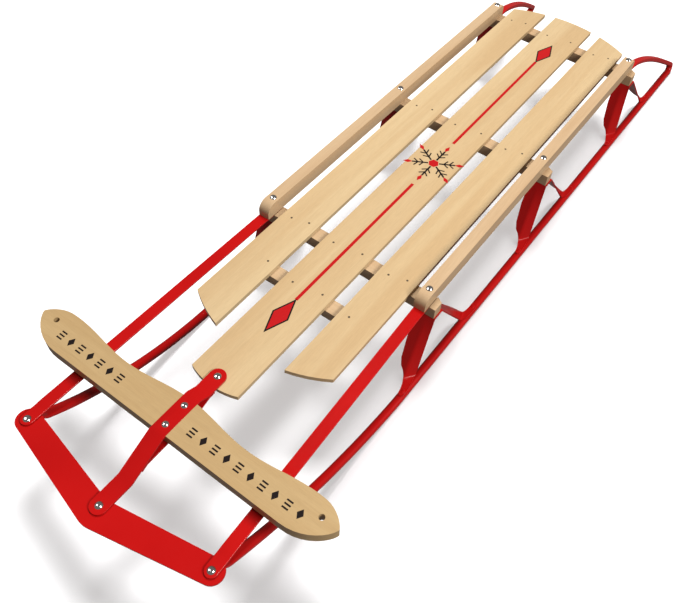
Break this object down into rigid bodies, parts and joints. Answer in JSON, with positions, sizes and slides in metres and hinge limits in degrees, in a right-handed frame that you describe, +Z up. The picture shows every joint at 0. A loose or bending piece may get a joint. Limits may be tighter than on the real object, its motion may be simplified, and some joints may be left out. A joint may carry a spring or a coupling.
{
  "type": "steerable sled",
  "caption": "Slatted wooden sled on pressed steel knees and flexing steel runners, with a wooden steering handle that bends the runner fronts sideways.",
  "frame": {"origin": "on the ground under the middle of the sled's bounding box", "axes": "+X to the rider's right seen from behind, the sled points along -Y, +Z up"},
  "size_m": [0.5, 1.485, 0.1665],
  "materials": {
    "slat_wood": "clear satin varnish",
    "frame_wood": "clear satin varnish",
    "red_enamel": "gloss enamel",
    "rivet_chrome": "bright plated",
    "nail_steel": "bright"
  },
  "bodies": {
    "deck": {"slat_left": "slat_wood", "slat_centre": "slat_wood", "slat_right": "slat_wood", "bench_front": "frame_wood", "bench_middle": "frame_wood", "bench_rear": "frame_wood", "cleat": "frame_wood", "side_rail_left": "frame_wood", "side_rail_right": "frame_wood", "knee_front_left": "red_enamel", "knee_front_right": "red_enamel", "knee_middle_left": "red_enamel", "knee_middle_right": "red_enamel", "knee_rear_left": "red_enamel", "knee_rear_right": "red_enamel", "runner_rear_left": "red_enamel", "runner_rear_right": "red_enamel", "rail_rivets": "rivet_chrome", "knee_rivets": "red_enamel", "slat_nails": "nail_steel", "pivot_rivet": "rivet_chrome"},
    "steering": {"steering_strap": "red_enamel", "lower_strap": "red_enamel", "steering_handle": "frame_wood", "handle_rivet_pair": "rivet_chrome", "bumper_rivet": "rivet_chrome"},
    "bumper": {"bumper": "red_enamel"},
    "strip_left": {"spring_strip_left": "red_enamel", "corner_rivet_left": "rivet_chrome"},
    "strip_right": {"spring_strip_right": "red_enamel", "corner_rivet_right": "rivet_chrome"},
    "runner_tip_left": {"runner_front_left": "red_enamel"},
    "runner_tip_right": {"runner_front_right": "red_enamel"}
  },
  "joints": [
    {"name": "steering_pivot", "type": "hinge", "parent": "deck", "child": "steering", "pos_m": [0, -0.5101, 0.1465], "axis": [0, 0, 1], "range_deg": [-8, 8], "stiffness_Nm_per_rad": 8},
    {"name": "bumper_pivot", "type": "hinge", "parent": "steering", "child": "bumper", "pos_m": [0, -0.7154, 0.1235], "axis": [0, 0, 1], "range_deg": [-8, 8]},
    {"name": "strip_bend_left", "type": "hinge", "parent": "deck", "child": "strip_left", "pos_m": [-0.144, -0.2285, 0.1375], "axis": [0, 0, 1], "range_deg": [-3.6, 3.6]},
    {"name": "strip_bend_right", "type": "hinge", "parent": "deck", "child": "strip_right", "pos_m": [0.144, -0.2285, 0.1375], "axis": [0, 0, 1], "range_deg": [-3.6, 3.6]},
    {"name": "runner_bend_left", "type": "hinge", "parent": "deck", "child": "runner_tip_left", "pos_m": [-0.1686, -0.3235, 0.005], "axis": [0, 0, 1], "range_deg": [-4.5, 4.5]},
    {"name": "runner_bend_right", "type": "hinge", "parent": "deck", "child": "runner_tip_right", "pos_m": [0.1686, -0.3235, 0.005], "axis": [0, 0, 1], "range_deg": [-4.5, 4.5]}
  ],
  "couplings": [
    {"joint": "bumper_pivot", "follows": "steering_pivot", "ratio": -1},
    {"joint": "strip_bend_left", "follows": "steering_pivot", "ratio": 0.443},
    {"joint": "strip_bend_right", "follows": "steering_pivot", "ratio": 0.443},
    {"joint": "runner_bend_left", "follows": "steering_pivot", "ratio": 0.557},
    {"joint": "runner_bend_right", "follows": "steering_pivot", "ratio": 0.557}
  ]
}
